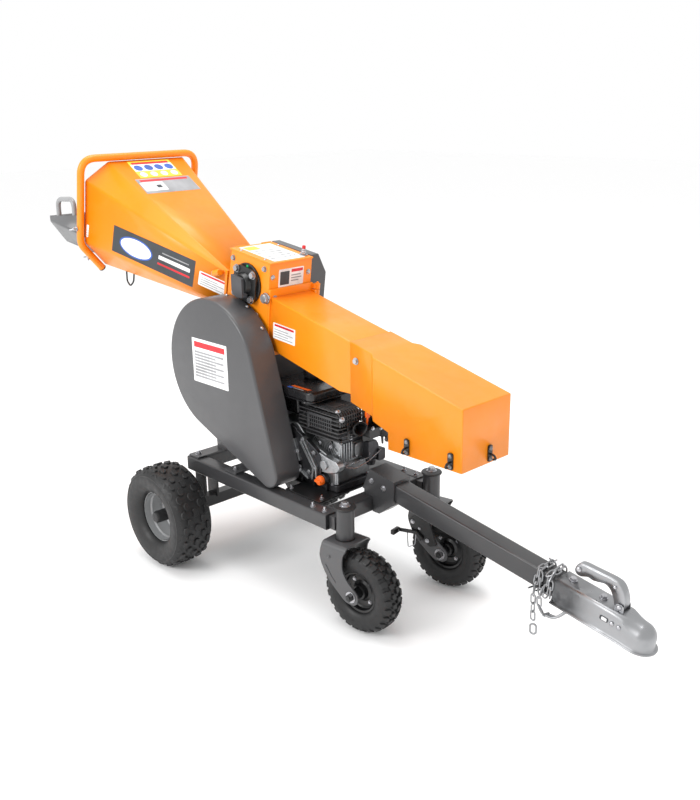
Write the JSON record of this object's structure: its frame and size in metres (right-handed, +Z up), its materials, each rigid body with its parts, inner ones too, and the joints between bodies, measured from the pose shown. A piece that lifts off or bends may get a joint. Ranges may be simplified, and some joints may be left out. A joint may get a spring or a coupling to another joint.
{
  "type": "wood chipper",
  "caption": "Towable petrol wood chipper with feed hopper and folding tray, belt-driven chopping head, hinged discharge chute and hood, rear wheels, front casters and a ball-coupling drawbar.",
  "frame": {"origin": "on the ground, midway along the overall length and on the middle of the wheel track", "axes": "+X points to the tow coupling, +Y to the left-hand side of the machine seen looking forward, +Z up"},
  "size_m": [2.447, 0.83, 1.3644],
  "materials": {
    "orange_paint": "gloss paint",
    "charcoal_paint": "semi-gloss paint",
    "frame_paint": "semi-gloss paint",
    "black_paint": "satin paint",
    "tray_paint": "satin paint",
    "rim_paint": "silver paint",
    "black_plastic": "matt",
    "tank": "gloss",
    "orange_plastic": "gloss",
    "tyre": "matt",
    "rubber": "matt",
    "zinc": "bright zinc plate",
    "engine_casting": "as cast",
    "pulley_iron": "machined",
    "tool_steel": "ground"
  },
  "bodies": {
    "chassis": {"air_filter": "black_plastic", "belt_guard": "charcoal_paint", "belt_guard_back": "charcoal_paint", "caster_sleeve_left": "frame_paint", "caster_sleeve_right": "frame_paint", "chopper_housing": "orange_paint", "chute_hinge_pin": "orange_paint", "chute_lock_bolt": "zinc", "coupling_head": "zinc", "drawbar": "frame_paint", "drive_belt": "rubber", "drive_case": "charcoal_paint", "drive_chain": "tool_steel", "engine_base_plate": "black_paint", "engine_crankcase": "engine_casting", "engine_cylinder": "engine_casting", "frame_cross_front": "frame_paint", "frame_cross_rear": "frame_paint", "frame_rail_left": "frame_paint", "frame_rail_right": "frame_paint", "fuel_tank": "tank", "hopper": "orange_paint", "hopper_hoop": "orange_paint", "hopper_knuckle": "orange_paint", "housing_stand": "charcoal_paint", "lower_bearing": "black_paint", "muffler_guard": "black_paint", "rear_axle": "black_paint", "recoil_cover": "black_paint", "safety_chain": "zinc", "tow_bracket": "frame_paint", "upper_bearing": "black_paint"},
    "rear_wheel_right": {"rear_rim_right": "rim_paint", "rear_tyre_right": "tyre"},
    "rear_wheel_left": {"rear_rim_left": "rim_paint", "rear_tyre_left": "tyre"},
    "caster_right": {"caster_fork_right": "charcoal_paint"},
    "caster_left": {"caster_fork_left": "charcoal_paint"},
    "caster_wheel_right": {"caster_rim_right": "black_paint", "caster_tyre_right": "tyre"},
    "caster_wheel_left": {"caster_rim_left": "black_paint", "caster_tyre_left": "tyre"},
    "brake": {"brake_pedal": "black_paint"},
    "rotor": {"cutting_rotor": "tool_steel", "driven_pulley": "pulley_iron", "rotor_sprocket": "tool_steel"},
    "roller": {"feed_roller": "tool_steel", "roller_sprocket": "tool_steel"},
    "crank_pulley": {"engine_pulley": "pulley_iron"},
    "top_cover": {"housing_top_cover": "orange_paint", "plunger_collar": "zinc"},
    "plunger": {"cover_plunger": "zinc"},
    "chute": {"discharge_chute": "orange_paint"},
    "hood": {"chute_hood": "orange_paint"},
    "tray": {"infeed_tray": "tray_paint", "tray_handle": "tray_paint"},
    "coupling_lever": {"coupling_handle": "zinc"},
    "starter_grip": {"recoil_grip": "black_plastic"},
    "tank_cap": {"fuel_cap": "black_plastic"},
    "dipstick": {"oil_dipstick": "orange_plastic"}
  },
  "joints": [
    {"name": "rear_wheel_right_spin", "type": "hinge", "parent": "chassis", "child": "rear_wheel_right", "pos_m": [-0.4205, -0.344, 0.1775], "axis": [0, 1, 0], "continuous": true},
    {"name": "rear_wheel_left_spin", "type": "hinge", "parent": "chassis", "child": "rear_wheel_left", "pos_m": [-0.4205, 0.344, 0.1775], "axis": [0, 1, 0], "continuous": true},
    {"name": "caster_right_swivel", "type": "hinge", "parent": "chassis", "child": "caster_right", "pos_m": [0.3121, -0.1946, 0.29], "axis": [0, 0, 1], "continuous": true},
    {"name": "caster_left_swivel", "type": "hinge", "parent": "chassis", "child": "caster_left", "pos_m": [0.3121, 0.1946, 0.29], "axis": [0, 0, 1], "continuous": true},
    {"name": "caster_wheel_right_spin", "type": "hinge", "parent": "caster_right", "child": "caster_wheel_right", "pos_m": [0.38182, -0.18831, 0.13], "axis": [-0.0899, 0.996, 0], "continuous": true},
    {"name": "caster_wheel_left_spin", "type": "hinge", "parent": "caster_left", "child": "caster_wheel_left", "pos_m": [0.38097, 0.20713, 0.13], "axis": [-0.179, 0.9838, 0], "continuous": true},
    {"name": "brake_press", "type": "hinge", "parent": "caster_left", "child": "brake", "pos_m": [0.32275, 0.12488, 0.18], "axis": [-0.179, 0.9838, 0], "range_deg": [-15, 0]},
    {"name": "rotor_spin", "type": "hinge", "parent": "chassis", "child": "rotor", "pos_m": [-0.2965, -0.022, 0.7], "axis": [0, 1, 0], "continuous": true},
    {"name": "roller_spin", "type": "hinge", "parent": "chassis", "child": "roller", "pos_m": [-0.2135, -0.022, 0.975], "axis": [0, 1, 0], "continuous": true},
    {"name": "crank_spin", "type": "hinge", "parent": "chassis", "child": "crank_pulley", "pos_m": [-0.0445, -0.186, 0.458], "axis": [0, 1, 0], "continuous": true},
    {"name": "cover_lift", "type": "hinge", "parent": "chassis", "child": "top_cover", "pos_m": [-0.2985, -0.022, 1.0788], "axis": [0, -1, 0], "range_deg": [0, 80]},
    {"name": "plunger_pull", "type": "slide", "parent": "top_cover", "child": "plunger", "axis": [0.14, 0, 0.9901], "range_m": [0, 0.008], "stiffness_N_per_m": 400, "springref_m": -0.005},
    {"name": "chute_swing", "type": "hinge", "parent": "chassis", "child": "chute", "pos_m": [-0.0925, 0.079, 0.945], "axis": [0.1391, 0, 0.9903], "range_deg": [0, 90]},
    {"name": "hood_tilt", "type": "hinge", "parent": "chute", "child": "hood", "pos_m": [0.28, -0.022, 0.806], "axis": [0, 1, 0], "range_deg": [0, 20]},
    {"name": "tray_fold", "type": "hinge", "parent": "chassis", "child": "tray", "pos_m": [-0.9685, -0.02, 1.108], "axis": [0, 1, 0], "range_deg": [0, 60]},
    {"name": "lever_lift", "type": "hinge", "parent": "chassis", "child": "coupling_lever", "pos_m": [1.12654, 0, 0.30095], "axis": [0, 1, 0], "range_deg": [0, 50]},
    {"name": "starter_pull", "type": "slide", "parent": "chassis", "child": "starter_grip", "axis": [0, 0.866, 0.5], "range_m": [0, 0.25], "stiffness_N_per_m": 20, "springref_m": -0.1},
    {"name": "cap_turn", "type": "hinge", "parent": "chassis", "child": "tank_cap", "pos_m": [-0.0615, 0.03, 0.672], "axis": [0, 0, 1], "range_deg": [0, 90]},
    {"name": "dipstick_turn", "type": "hinge", "parent": "chassis", "child": "dipstick", "pos_m": [0.1285, -0.126, 0.392], "axis": [0, -1, 0], "range_deg": [0, 90]}
  ],
  "couplings": [
    {"joint": "roller_spin", "follows": "rotor_spin", "ratio": 0.65517},
    {"joint": "crank_spin", "follows": "rotor_spin", "ratio": 5.4444}
  ]
}
